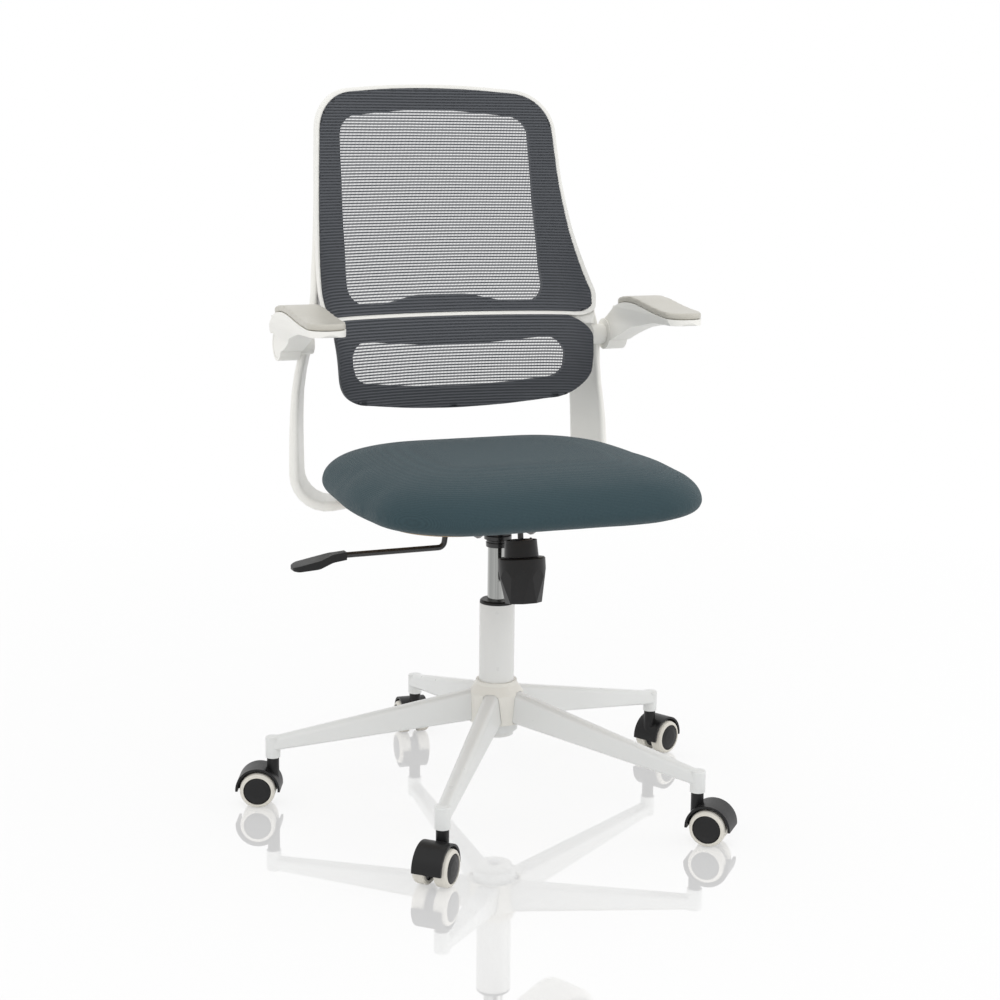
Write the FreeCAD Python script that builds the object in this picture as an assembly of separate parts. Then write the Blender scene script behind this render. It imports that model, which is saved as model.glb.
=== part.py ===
import FreeCAD, Part
import math
import os
from FreeCAD import Vector

# Swivel task chair with a mesh back, flip-up armrests and a tilting seat.
# Millimetres, +Z up, the sitter faces -Y, +X is the sitter's left.
# The origin lies on the floor, on the axis of the gas column.

# Driving dimensions of the five-legged base and its casters
LEG_COUNT = 5
FIRST_LEG_ANGLE = -123.6
STEM_CIRCLE_R = 317.0
SOCKET_R = 10.5
SOCKET_BOTTOM_Z = 69.0
LEG_TIP_TOP_Z = 99.0
LEG_HUB_TOP_Z = 166.0
LEG_HUB_BOTTOM_Z = 122.0
LEG_TIP_BOTTOM_Z = 80.0
LEG_ROOT_R = 26.0
LEG_ROOT_HALF = 10.5
LEG_TIP_HALF = 8.8
LEG_SIDE_LEAN = 0.125
LEG_CREST_R = 8.6
LEG_UNDER_R = 4.0
LEG_WALL = 2.0
LEG_TIP_SOLID = 24.0
SOCKET_ROOF = 6.0
SOCKET_EDGE_R = 2.0
SLEEVE_R = 31.0
SLEEVE_BOTTOM_Z = 106.0
SLEEVE_TOP_Z = 169.0
HUB_COVER_R = 39.5
HUB_COVER_TOP_Z = 178.0
HUB_COVER_WALL = 3.0
HUB_COVER_BOTTOM_Z = 119.0
HUB_SHOULDER_Z = 161.0
HUB_NECK_Z = 173.0
HUB_NECK_WALL = 4.0
HUB_DRAFT = 1.0
CASTER_ANGLES = (226.0, 318.0, 27.0, 86.0, 158.0)
WHEEL_R = 25.0
WHEEL_WIDTH = 18.0
WHEEL_INNER_FACE = 6.6
WHEEL_TRAIL = 20.0
TREAD_SEAT_R = 19.6
HOOD_R = 31.5
HOOD_WALL = 3.2
HOOD_HALF_WIDTH = 20.5
HOOD_TOP_Z = 68.0
HOOD_TOWER_R = 8.6
HOOD_TOWER_Z = 34.0
HOOD_SKIRT_DROP = 2.0
HOOD_HUB_R = 15.0
STEM_R = 5.5
STEM_BOTTOM_Z = 42.0
STEM_FLANGE_R = 8.0
STEM_HEADROOM = 8.0
AXLE_R = 3.0
AXLE_END = 13.0
AXLE_ROOM = 14.0
WHEEL_HUB_R = 7.0
WHEEL_RECESS = 3.0
WEB_GAP = 1.0
# Domed outer face of a wheel's core: inwards from the tread's seat, outwards from the wheel's face
CORE_DOME = ((0, -1.5), (2.5, -0.2), (9, 1), (TREAD_SEAT_R, 1.4))
# Rounded outer shoulder of a tread: inwards from the rim, inwards from the wheel's face
TREAD_SHOULDER = ((0, 5), (0.9, 2.2), (3, 0.4))
TREAD_EDGE = 1.5
RUNNING_GAP = 0.05
SNUG_GAP = 0.2
LOOSE_GAP = 0.4

# Driving dimensions of the gas column
TUBE_R = 25.0
TUBE_WALL = 2.0
TUBE_FLOOR = 5.0
TUBE_BOTTOM_Z = 98.0
TUBE_TOP_Z = 290.0
BUSH_FLANGE = 5.0
BUSH_LENGTH = 52.0
BUSH_STEP = 0.5
BUSH_EDGE = 2.0
CYLINDER_R = 14.0
CYLINDER_BORE_R = 12.0
CYLINDER_BOTTOM_Z = 184.0
CYLINDER_TOP_Z = 400.0
CYLINDER_TIP_R = 13.3
CYLINDER_END_WALL = 12.0
CYLINDER_TOP_WALL = 8.0
EDGE_BREAK = 1.0
ROD_R = 5.0
ROD_FOOT_R = 7.0
ROD_FOOT_DROP = 4.0
THRUST_R = 15.0
THRUST_HEIGHT = 6.7
THRUST_GAP = 0.3
PISTON_Z = 232.0
PISTON_LENGTH = 12.0
VALVE_R = 4.0
VALVE_TOP_Z = 411.1
VALVE_SUNK = 20.0
VALVE_EDGE = 0.8

# Driving dimensions of the tilt mechanism
COLLAR_BOTTOM_Z = 371.0
COLLAR_TOP_Z = 398.0
# Outside of the collar, from its foot up: radius, height
COLLAR_PROFILE = ((16.5, 371), (17, 377), (15.8, 378), (15.8, 380), (19.5, 382), (19.5, 387), (18.5, 389),
                  (18.5, 398))
BRACKET_HALF = 41.0
BRACKET_SHEET = 3.0
CHANNEL_FRONT_Y = -56.0
TONGUE_FRONT_Y = -108.0
TONGUE_HALF = 21.0
BRACKET_REAR_Y = 34.0
# Side plate of the bracket, lower behind the column so that the seat can tip: y, z, corner radius
BRACKET_PLATE = ((-56, 404, 6), (-28, 390, 14), (34, 390, 6), (34, 402, 4), (-22, 424, 20), (-56, 424, 6))
BRACKET_WEB_Y = -28.0
BRACKET_WEB_Z = 394.0
BRACKET_WEB_HOLE_R = 17.3
TONGUE_Z = 418.0
BOLT_SLOT = ((-7, -100, 6.9), (7, -100, 6.9), (7, -66, 6.9), (-7, -66, 6.9))
TILT_SLEEVE_R = 9.0
LEVER_NOTCH_HALF = 9.5
TILT_Y = -35.0
TILT_Z = 412.0
TILT_PIN_R = 5.0
TILT_PIN_HEAD_R = 8.0
TILT_PIN_HEAD = 4.0
PAN_INNER_HALF = 46.0
PAN_SHEET = 3.0
PAN_HALF_LENGTH = 116.0
PAN_BOTTOM_Z = 402.0
PAN_FRONT_Z = 424.0
PAN_FLANGE_HALF = 80.0
PAN_REAR_Z = 418.0
PAN_LEVER_HALF = 20.0
BRIDGE_Y = (-100.0, -60.0)
BRIDGE_Z = (425.0, 430.0)
SEAT_BOLT_X = 66.0
SEAT_BOLT_Y = 92.0
KNOB_TOP = Vector(0.0, -89.0, 374.0)
KNOB_LEAN = 9.0
KNOB_R = 32.5
KNOB_BOTTOM_R = 25.0
KNOB_HEIGHT = 62.0
KNOB_SIDES = 8
KNOB_BAND = 16.0
KNOB_EDGE = 1.5
KNOB_BORE_DEPTH = 44.0
CUP_TOP_R = 22.0
CUP_BOTTOM_R = 23.5
CUP_HEIGHT = 24.0
CUP_WALL = 2.0
CUP_FLOOR_Z = 1.0
CUP_FLOOR = 3.0
SPRING_OUTER_R = 17.0
SPRING_INNER_R = 12.0
SPRING_TOP = 26.0
TENSION_BOLT_R = 4.0
TENSION_BOLT_LOW = -40.0
TENSION_HEAD_R = 8.0
TENSION_HEAD_Z = 56.5
TENSION_HEAD = 4.0
LOCK_PLATE_X = (-62.0, -22.0)
LOCK_PLATE_HALF = 8.6
LOCK_PLATE_SHEET = 2.5
LOCK_EAR_THICK = 4.3
LOCK_EAR_HALF = 7.0
LOCK_EAR_RISE = 5.0
LEVER_PIVOT_R = 2.0
LEVER_BEND_R = 9.0
LEVER_INNER_X = 14.0
LEVER_Z = 415.5
LEVER_R = 4.0
LEVER_PIVOT_X = -34.0
LEVER_STEP_X = -75.0
LEVER_STEP_RUN = 6.0
LEVER_LOW_Z = 375.0
LEVER_END_X = -236.0
LEVER_END_Z = 374.0
PADDLE_NECK = 40.0
# Side view of the paddle: x, z, corner radius
PADDLE_SIDE = ((-222, 368.5, 1.5), (-244, 366, 30), (-264, 360, 40), (-293, 358, 30), (-299, 358.6, 1.2),
               (-299, 363.5, 2), (-290, 366.5, 30), (-262, 372, 30), (-244, 377.3, 30), (-222, 379.6, 1.5))
# Plan of the paddle: x, y, corner radius
PADDLE_PLAN = ((-222, -6, 2), (-222, 6, 2), (-240, 7.5, 25), (-262, 15.5, 25), (-299, 15.5, 12),
               (-299, -15.5, 12), (-262, -15.5, 25), (-240, -7.5, 25))

# Driving dimensions of the seat
BOARD_BOTTOM_Z = 438.0
BOARD_TOP_Z = 447.0
SEAT_HALF_WIDTH = 246.0
SEAT_FRONT_Y = -252.0
SEAT_REAR_Y = 205.0
SEAT_REAR_CORNER_R = 135.0
SEAT_FRONT_CORNER_R = 108.0
SEAT_CORNER_SHRINK = 0.7
SEAT_REAR_SHARE = 0.915
SEAT_FRONT_SHARE = 0.92
SEAT_WIDEST_Y = -60.0
SEAT_SIDE_R = 380.0
BOARD_INSET = 34.0
# Cushion levels from the board's lower face up: inset from the widest outline, height
CUSHION_LEVELS = ((24, 438), (10, 440.5), (3, 446), (0, 454), (0, 461), (4, 471), (12, 480), (25, 489),
                  (45, 496), (75, 503), (125, 508))
BOLT_R = 3.0
BOLT_HEAD_R = 6.0
BOLT_HEAD_DEPTH = 4.5
BOLT_COVER = 1.0

# Driving dimensions of the back: depth of the centre line at each height
BACK_CENTRE = ((1022, 305), (945, 290), (850, 273), (750, 250), (715, 239), (690, 222),
               (665, 203), (640, 187), (600, 177), (530, 172))
SURFACE_HALF = 228.0
SURFACE_COLUMNS = 13
SURFACE_ROWS = 15
BACK_HOLLOW = 0.001
WING_START_X = 150.0
WING_CURL = 0.0105
WING_TOP_Z = 880.0
WING_FULL_Z = 650.0
# Right half of each outline seen from the front, from the top down: x, z, corner radius
CROSSBAR_TOP_Z = 679.0
CROSSBAR_BOTTOM_Z = 674.0
UPPER_OUTLINE = ((0, 1007.5, 1200), (176.5, 991.5, 58), (186, 868, 700), (193.5, 795, 500), (206, 710, 38),
                 (202, CROSSBAR_TOP_Z, 20))
UPPER_WINDOW = ((0, 974, 700), (147, 960, 30), (153, 693, 26), (95, 692, 80), (40, 703, 80))
LOWER_OUTLINE = ((198.5, CROSSBAR_BOTTOM_Z, 26), (190, 560, 52), (0, 536, 900))
LOWER_WINDOW = ((0, 630, 900), (167, 646, 24), (161, 587, 26), (0, 567, 900))
BEZEL_OUTLINE = ((0, 1012.5, 1200), (182, 996, 63), (191, 868, 700), (198.3, 795, 500), (211, 709, 44),
                 (203, CROSSBAR_BOTTOM_Z, 22))
MESH_THICK = 1.2
PANEL_RIM_DEPTH = 9.0
BEZEL_START = 2.0
BEZEL_DEPTH = 15.0
BLADE_TOE = 23.0
BLADE_EDGE_SHARE = 0.45
# Side blade from the top down: height, centre x, centre y, chord, thickness
BLADE_STATIONS = ((945, 178.5, 278, 14, 8), (850, 185, 259, 18, 9), (780, 192, 238, 26, 10),
                  (750, 196.5, 226.5, 33, 11), (720, 201.5, 210, 40, 11.5), (680, 208, 200, 52, 12),
                  (640, 217, 206, 57, 12),
                  (580, 225.5, 220, 61, 12), (520, 230, 217, 68, 13), (454, 231.5, 212, 70, 15))
BLADE_SECTIONS = 18
LEG_BEND_R = 46.0
BEND_START = Vector(231.5, 212.0, 454.0)
BEND_TURN = 100.0
BEND_SECTIONS = 8
BLADE_FOOT_THICK = 15.0
FOOT_CHORD = 52.0
FOOT_RUN = 78.0
FOOT_OUTLINE = ((104, 138, 10), (156, 138, 10), (156, 186, 10), (104, 186, 10))
FOOT_BOTTOM_Z = 416.0
FOOT_BOLT_X = (116.0, 140.0)
FOOT_BOLT_Y = 150.0
FOOT_HEAD_Z = 422.0
SHOULDER_PLAN = ((168, 178, 3), (204, 140, 3), (218, 181, 4), (203, 212, 4), (172, 200, 6))
SHOULDER_REACH = 60.0
SHOULDER_LOW_Z = 664.0
SHOULDER_HIGH_Z = 690.0

# Driving dimensions of the flip-up armrests
PIVOT_Y = 182.0
PIVOT_Z = 643.0
PIVOT_R = 23.0
PIVOT_SEAT_R = 15.0
PIVOT_SEAT_LENGTH = 22.0
PIVOT_BOLT_R = 5.0
PIVOT_BOLT_ROOT_X = 214.0
ARM_INNER_X = 238.0
ARM_OUTER_X = 268.0
PAD_X = 260.0
PAD_HALF_WIDTH = 27.0
PAD_FRONT_Y = -62.0
PAD_REAR_Y = 138.0
PAD_THICK = 9.5
PAD_FRONT_R = 26.0
PAD_REAR_R = 20.0
ARM_TAIL_Y = 105.0
# Side view of the pad's top, front to rear: y, z
PAD_CURVE = ((-62, 697), (-20, 698.5), (20, 702.5), (60, 707.5), (95, 708), (122, 703), (138, 696))
PIVOT_CAP_R = 18.5
PIVOT_CAP_THICK = 3.0
# Side view of the web below the pad: y, z, corner radius
WEB_SIDE = ((-62, 720, 1), (-62, 679, 5), (10, 677, 120), (90, 662, 80), (150, 638, 10), (182, 630, 10),
            (196, 660, 8), (138, 687, 4), (138, 720, 1))
# Front view of the web: x, z, corner radius
WEB_FRONT = ((233, 720, 1), (233, 688, 12), (240, 668, 30), (238, 640, 1), (238, 610, 1), (268, 610, 1),
             (268, 650, 30), (284, 676, 30), (287, 690, 8), (287, 720, 1))

X_AXIS = Vector(1, 0, 0)
Y_AXIS = Vector(0, 1, 0)
Z_AXIS = Vector(0, 0, 1)
ORIGIN = Vector(0, 0, 0)
# Reach of cutting tools, past any piece
FAR = 500.0

os.makedirs("parts", exist_ok=True)


def save(name, *solids):
    """Write one sub-part, made of one solid or of several like ones."""
    shape = solids[0] if len(solids) == 1 else Part.makeCompound(list(solids))
    for solid in shape.Solids:
        if not solid.isValid() or solid.Volume <= 0:
            print("check the solid of", name)
    shape.exportStep("parts/" + name + ".step")


def post(radius, z_low, z_high, x=0.0, y=0.0):
    """Upright cylinder."""
    return Part.makeCylinder(radius, z_high - z_low, Vector(x, y, z_low))


def bar(radius, x_low, x_high, y, z):
    """Cylinder along X."""
    return Part.makeCylinder(radius, x_high - x_low, Vector(x_low, y, z), X_AXIS)


def block(low, high):
    """Box between two corners."""
    return Part.makeBox(high[0] - low[0], high[1] - low[1], high[2] - low[2], Vector(*low))


def turned(profile):
    """Solid of revolution about Z from (radius, height) corners."""
    points = [Vector(r, 0, z) for r, z in profile]
    wire = Part.makePolygon(points + points[:1])
    return Part.Face(wire).revolve(ORIGIN, Z_AXIS, 360)


def rounded(corners, place):
    """Closed wire through (u, v, radius) corners, each turned by a tangent arc; place maps u, v to a point."""
    count = len(corners)
    cuts = []
    for i in range(count):
        u, v, radius = corners[i]
        here = Vector(u, v, 0)
        before = Vector(*corners[i - 1][:2], 0) - here
        after = Vector(*corners[(i + 1) % count][:2], 0) - here
        before.normalize()
        after.normalize()
        half = before.getAngle(after) / 2.0
        back = radius / math.tan(half)
        inward = before + after
        inward.normalize()
        middle = here + inward * (radius / math.sin(half) - radius)
        cuts.append((here + before * back, middle, here + after * back))
    edges = []
    for i in range(count):
        start, middle, end = (place(p.x, p.y) for p in cuts[i])
        edges.append(Part.Arc(start, middle, end).toShape())
        following = place(cuts[(i + 1) % count][0].x, cuts[(i + 1) % count][0].y)
        if (following - end).Length > 1e-3:
            edges.append(Part.makeLine(end, following))
    return Part.Wire(edges)


def both_sides(half):
    """Mirror a right-hand run of (u, v, radius) corners to close a symmetric outline."""
    left = [(-u, v, r) for u, v, r in reversed(half) if u > 0]
    return list(half) + left


def extruded(wire, direction):
    return Part.Face(wire).extrude(direction)


def mirrored(shape):
    return shape.mirror(ORIGIN, X_AXIS)


def turned_z(shape, angle):
    copy = shape.copy()
    copy.rotate(ORIGIN, Z_AXIS, angle)
    return copy


# Star base: steel sleeve with five tapered legs, each ending in an upright caster socket
def leg_ring(radius, half_top, z_low, z_high, grow):
    """Corners of an upright section of a leg, moved outwards by grow."""
    low = z_low - grow
    high = z_high + grow
    narrow = half_top + grow
    wide = narrow + LEG_SIDE_LEAN * (high - low)
    return [Vector(radius, -wide, low), Vector(radius, wide, low), Vector(radius, narrow, high),
            Vector(radius, -narrow, high)]


def long_edges(body):
    """The edges along a leg, from the lowest to the highest."""
    found = [edge for edge in body.Edges if edge.Length > STEM_CIRCLE_R / 2]
    return sorted(found, key=lambda edge: edge.CenterOfMass.z)


def leg_body(grow=0.0):
    """Tapered leg along X: flat below, leaning sides and a rounded crest."""
    root = leg_ring(LEG_ROOT_R, LEG_ROOT_HALF, LEG_HUB_BOTTOM_Z, LEG_HUB_TOP_Z, grow)
    tip = leg_ring(STEM_CIRCLE_R, LEG_TIP_HALF, LEG_TIP_BOTTOM_Z, LEG_TIP_TOP_Z, grow)
    side_view = [Vector(p.x, -FAR, p.z) for p in (root[0], root[-1], tip[-1], tip[0])]
    flank = Part.Plane(root[1], root[2], tip[2]).toShape(-FAR, FAR, -FAR, FAR).extrude(Y_AXIS * FAR)
    body = extruded(Part.makePolygon(side_view + side_view[:1]), Y_AXIS * 2 * FAR)
    body = body.cut(flank).cut(flank.mirror(ORIGIN, Y_AXIS))
    body = body.makeFillet(LEG_UNDER_R + grow, long_edges(body)[:2])
    return body.makeFillet(LEG_CREST_R + grow, long_edges(body)[-2:])


def base_leg():
    tip_room = block((STEM_CIRCLE_R - LEG_TIP_SOLID, -FAR, 0), (FAR, FAR, FAR))
    hollow = leg_body(-LEG_WALL).cut(tip_room)
    stem_bore = post(STEM_R + RUNNING_GAP, 0, LEG_TIP_TOP_Z - SOCKET_ROOF, STEM_CIRCLE_R)
    socket = post(SOCKET_R, SOCKET_BOTTOM_Z, LEG_TIP_TOP_Z, STEM_CIRCLE_R)
    socket = socket.makeFillet(SOCKET_EDGE_R, [socket.Edges[0]])
    leg = leg_body().fuse(socket).removeSplitter()
    return leg.cut(hollow).cut(stem_bore).cut(post(SLEEVE_R, 0, FAR))


leg_angles = [FIRST_LEG_ANGLE + i * 360.0 / LEG_COUNT for i in range(LEG_COUNT)]
sleeve = post(SLEEVE_R, SLEEVE_BOTTOM_Z, SLEEVE_TOP_Z).cut(post(TUBE_R, 0, FAR))
one_leg = base_leg()
save("star_base", sleeve.fuse([turned_z(one_leg, a) for a in leg_angles]))

# Hub cover: moulded cap with an arch over each leg and a cone up to the column
cover_inner = HUB_COVER_R - HUB_COVER_WALL
neck_inner = TUBE_R + SNUG_GAP
neck_outer = TUBE_R + HUB_NECK_WALL
cover = turned([(HUB_COVER_R, HUB_COVER_BOTTOM_Z), (HUB_COVER_R - HUB_DRAFT, HUB_SHOULDER_Z),
                (neck_outer + HUB_DRAFT, HUB_NECK_Z), (neck_outer, HUB_COVER_TOP_Z),
                (neck_inner, HUB_COVER_TOP_Z),
                (neck_inner, SLEEVE_TOP_Z), (SLEEVE_R + HUB_DRAFT, SLEEVE_TOP_Z),
                (cover_inner - HUB_DRAFT, HUB_SHOULDER_Z), (cover_inner, HUB_COVER_BOTTOM_Z)])
leg_room = leg_body(LOOSE_GAP)
for angle in leg_angles:
    cover = cover.cut(turned_z(leg_room, angle))
save("hub_cover", cover)

# Gas column: painted outer tube, guide bush, rod on its thrust collar, and the chrome pressure cylinder
tube_inner = TUBE_R - TUBE_WALL
foot_bore = ROD_FOOT_R + RUNNING_GAP
tube_floor_z = TUBE_BOTTOM_Z + TUBE_FLOOR
tube = turned([(foot_bore, TUBE_BOTTOM_Z), (TUBE_R, TUBE_BOTTOM_Z), (TUBE_R, TUBE_TOP_Z),
               (tube_inner, TUBE_TOP_Z),
               (tube_inner, tube_floor_z), (foot_bore, tube_floor_z)])
save("gas_outer_tube", tube)
bush_top = TUBE_TOP_Z + BUSH_FLANGE
bush_bottom = TUBE_TOP_Z - BUSH_LENGTH
bush_bore = CYLINDER_R + RUNNING_GAP
flange_r = TUBE_R - BUSH_STEP
bush = turned([(bush_bore, bush_bottom), (tube_inner, bush_bottom), (tube_inner, TUBE_TOP_Z),
               (flange_r, TUBE_TOP_Z),
               (flange_r, bush_top - BUSH_EDGE), (flange_r - BUSH_EDGE, bush_top), (bush_bore, bush_top)])
save("guide_bush", bush)
foot_z = TUBE_BOTTOM_Z - ROD_FOOT_DROP
thrust_z = tube_floor_z + THRUST_GAP
thrust_top = thrust_z + THRUST_HEIGHT
piston_r = CYLINDER_BORE_R - RUNNING_GAP
piston_top = PISTON_Z + PISTON_LENGTH
rod = turned([(0, foot_z), (ROD_FOOT_R - EDGE_BREAK, foot_z), (ROD_FOOT_R, foot_z + EDGE_BREAK),
              (ROD_FOOT_R, thrust_z), (THRUST_R, thrust_z), (THRUST_R, thrust_top), (ROD_R, thrust_top),
              (ROD_R, PISTON_Z), (piston_r, PISTON_Z), (piston_r, piston_top), (0, piston_top)])
save("piston_rod", rod)
rod_bore = ROD_R + RUNNING_GAP
valve_bore = VALVE_R + RUNNING_GAP
cylinder_floor = CYLINDER_BOTTOM_Z + CYLINDER_END_WALL
cylinder_roof = CYLINDER_TOP_Z - CYLINDER_TOP_WALL
cylinder = turned([(rod_bore, CYLINDER_BOTTOM_Z), (CYLINDER_R - EDGE_BREAK, CYLINDER_BOTTOM_Z),
                   (CYLINDER_R, CYLINDER_BOTTOM_Z + EDGE_BREAK), (CYLINDER_R, COLLAR_BOTTOM_Z),
                   (CYLINDER_TIP_R, CYLINDER_TOP_Z), (valve_bore, CYLINDER_TOP_Z), (valve_bore, cylinder_roof),
                   (CYLINDER_BORE_R, cylinder_roof), (CYLINDER_BORE_R, cylinder_floor), (rod_bore, cylinder_floor)])
save("gas_cylinder", cylinder)
valve = post(VALVE_R, CYLINDER_TOP_Z - VALVE_SUNK, VALVE_TOP_Z)
save("valve_pin", valve.makeChamfer(VALVE_EDGE, [valve.Edges[0]]))

# Column bracket: pressed channel on a tapered collar, with the tilt sleeve and the spring seat at its front
taper = (CYLINDER_R - CYLINDER_TIP_R) / (CYLINDER_TOP_Z - COLLAR_BOTTOM_Z)
collar_tip_r = CYLINDER_R - taper * (COLLAR_TOP_Z - COLLAR_BOTTOM_Z)
collar = turned([(CYLINDER_R, COLLAR_BOTTOM_Z), *COLLAR_PROFILE, (collar_tip_r, COLLAR_TOP_Z)])


def side_plate(corners, x_low, sheet):
    """Upright plate across X from (y, z, radius) corners."""
    return extruded(rounded(corners, lambda u, v: Vector(x_low, u, v)), X_AXIS * sheet)


def flat_plate(corners, z_low, sheet):
    """Level plate from (x, y, radius) corners."""
    return extruded(rounded(corners, lambda u, v: Vector(u, v, z_low)), Z_AXIS * sheet)


web = block((-BRACKET_HALF, BRACKET_WEB_Y, BRACKET_WEB_Z), (BRACKET_HALF, BRACKET_REAR_Y, COLLAR_TOP_Z))
web = web.cut(post(BRACKET_WEB_HOLE_R, 0, FAR))
tongue = flat_plate([(-TONGUE_HALF, TONGUE_FRONT_Y, 8), (TONGUE_HALF, TONGUE_FRONT_Y, 8),
                     (BRACKET_HALF, CHANNEL_FRONT_Y, 4), (BRACKET_HALF, TILT_Y, 1),
                     (-BRACKET_HALF, TILT_Y, 1), (-BRACKET_HALF, CHANNEL_FRONT_Y, 4)], TONGUE_Z, BRACKET_SHEET)
tongue = tongue.cut(flat_plate(BOLT_SLOT, 0, FAR))
tilt_sleeve = bar(TILT_SLEEVE_R, -BRACKET_HALF, BRACKET_HALF, TILT_Y, TILT_Z)
lever_notch = block((-FAR, -LEVER_NOTCH_HALF, COLLAR_TOP_Z),
                    (-BRACKET_HALF + BRACKET_SHEET + 1, LEVER_NOTCH_HALF, FAR))
bracket = collar.fuse([web, tongue, tilt_sleeve, side_plate(BRACKET_PLATE, -BRACKET_HALF, BRACKET_SHEET),
                       side_plate(BRACKET_PLATE, BRACKET_HALF - BRACKET_SHEET, BRACKET_SHEET)])
bracket = bracket.cut(bar(TILT_PIN_R + RUNNING_GAP, -FAR, FAR, TILT_Y, TILT_Z)).cut(lever_notch)
save("column_bracket", bracket.removeSplitter())

# Height lever: bent steel rod on a sliding lock plate, with a moulded paddle at its end
plate_low = COLLAR_TOP_Z + THRUST_GAP
lock_plate = block((LOCK_PLATE_X[0], -LOCK_PLATE_HALF, plate_low),
                   (LOCK_PLATE_X[1], LOCK_PLATE_HALF, plate_low + LOCK_PLATE_SHEET))
for ear_face in (-LOCK_PLATE_HALF, LOCK_PLATE_HALF - LOCK_EAR_THICK):
    ear = block((LEVER_PIVOT_X - LOCK_EAR_HALF, ear_face, plate_low),
                (LEVER_PIVOT_X + LOCK_EAR_HALF, ear_face + LOCK_EAR_THICK, LEVER_Z + LOCK_EAR_RISE))
    lock_plate = lock_plate.fuse(ear)
pivot_hole = Part.makeCylinder(LEVER_PIVOT_R, 2 * FAR, Vector(LEVER_PIVOT_X, -FAR, LEVER_Z), Y_AXIS)
save("tilt_lock_plate", lock_plate.removeSplitter().cut(pivot_hole))


def swept_rod(points, radius, bend):
    """Round bar along straight runs joined by tangent bends, in the XZ plane."""
    path = [Vector(x, 0, z) for x, z in points]
    edges = []
    start = path[0]
    for i in range(1, len(path) - 1):
        back = path[i - 1] - path[i]
        ahead = path[i + 1] - path[i]
        back.normalize()
        ahead.normalize()
        half = back.getAngle(ahead) / 2.0
        inward = back + ahead
        inward.normalize()
        tangent_in = path[i] + back * (bend / math.tan(half))
        tangent_out = path[i] + ahead * (bend / math.tan(half))
        edges.append(Part.makeLine(start, tangent_in))
        middle = path[i] + inward * (bend / math.sin(half) - bend)
        edges.append(Part.Arc(tangent_in, middle, tangent_out).toShape())
        start = tangent_out
    edges.append(Part.makeLine(start, path[-1]))
    profile = Part.Wire(Part.makeCircle(radius, path[0], path[1] - path[0]))
    return Part.Wire(edges).makePipeShell([profile], True, False)


lever_points = [(LEVER_INNER_X, LEVER_Z), (LEVER_STEP_X, LEVER_Z), (LEVER_STEP_X - LEVER_STEP_RUN, LEVER_LOW_Z),
                (LEVER_END_X, LEVER_END_Z)]
lever_rod = swept_rod(lever_points, LEVER_R, LEVER_BEND_R)
pivot_stub = Part.makeCylinder(LEVER_PIVOT_R - RUNNING_GAP, 2 * LOCK_PLATE_HALF,
                               Vector(LEVER_PIVOT_X, -LOCK_PLATE_HALF, LEVER_Z), Y_AXIS)
save("lever_rod", lever_rod.fuse(pivot_stub))


paddle_side = extruded(rounded(PADDLE_SIDE, lambda u, v: Vector(u, -FAR, v)), Y_AXIS * 2 * FAR)
paddle_plan = extruded(rounded(PADDLE_PLAN, lambda u, v: Vector(u, v, 0)), Z_AXIS * FAR)
rod_room = Part.makeCylinder(LEVER_R, PADDLE_NECK, Vector(LEVER_END_X, 0, LEVER_END_Z), X_AXIS)
save("lever_paddle", paddle_side.common(paddle_plan).cut(rod_room).cut(lever_rod))

# Tilt pin and mechanism pan: the pan is bolted under the seat board and swings on the pin
pan_outer = PAN_INNER_HALF + PAN_SHEET
pin_shank = bar(TILT_PIN_R, -pan_outer, pan_outer, TILT_Y, TILT_Z)
pin_head = bar(TILT_PIN_HEAD_R, pan_outer, pan_outer + TILT_PIN_HEAD, TILT_Y, TILT_Z)
save("tilt_pin", pin_shank.fuse(pin_head).removeSplitter())


pan_front = -PAN_HALF_LENGTH
pan_rear = PAN_HALF_LENGTH
wall_outline = [(pan_front, PAN_FRONT_Z, 4), (-74, PAN_FRONT_Z - 4, 12), (-48, PAN_BOTTOM_Z, 8),
                (10, PAN_BOTTOM_Z, 12), (pan_rear, PAN_REAR_Z, 8), (pan_rear, BOARD_BOTTOM_Z, 1),
                (pan_front, BOARD_BOTTOM_Z, 1)]
flange_outline = [(PAN_INNER_HALF, pan_front, 2), (PAN_FLANGE_HALF, pan_front, 2),
                  (PAN_FLANGE_HALF, pan_rear, 2),
                  (PAN_INNER_HALF, pan_rear, 2)]
flange = flat_plate(flange_outline, BOARD_BOTTOM_Z - PAN_SHEET, PAN_SHEET)
front_wall = block((-PAN_INNER_HALF, pan_front, PAN_FRONT_Z),
                   (PAN_INNER_HALF, pan_front + PAN_SHEET, BOARD_BOTTOM_Z))
rear_wall = block((-PAN_INNER_HALF, pan_rear - PAN_SHEET, PAN_REAR_Z + 1),
                  (PAN_INNER_HALF, pan_rear, BOARD_BOTTOM_Z))
bolt_bridge = block((-PAN_INNER_HALF, BRIDGE_Y[0], BRIDGE_Z[0]), (PAN_INNER_HALF, BRIDGE_Y[1], BRIDGE_Z[1]))
walls = [side_plate(wall_outline, PAN_INNER_HALF, PAN_SHEET), front_wall, rear_wall]
pan = side_plate(wall_outline, -pan_outer, PAN_SHEET).fuse(walls + [flange, mirrored(flange), bolt_bridge])
pan = pan.cut(bar(TILT_PIN_R, -FAR, FAR, TILT_Y, TILT_Z))
pan = pan.cut(block((-FAR, -PAN_LEVER_HALF, 0), (-PAN_INNER_HALF + 1, PAN_LEVER_HALF, FAR)))
seat_bolt_places = [(sx * SEAT_BOLT_X, sy * SEAT_BOLT_Y) for sx in (-1, 1) for sy in (-1, 1)]
for x, y in seat_bolt_places:
    pan = pan.cut(post(BOLT_R + SNUG_GAP, 0, FAR, x, y))


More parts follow.
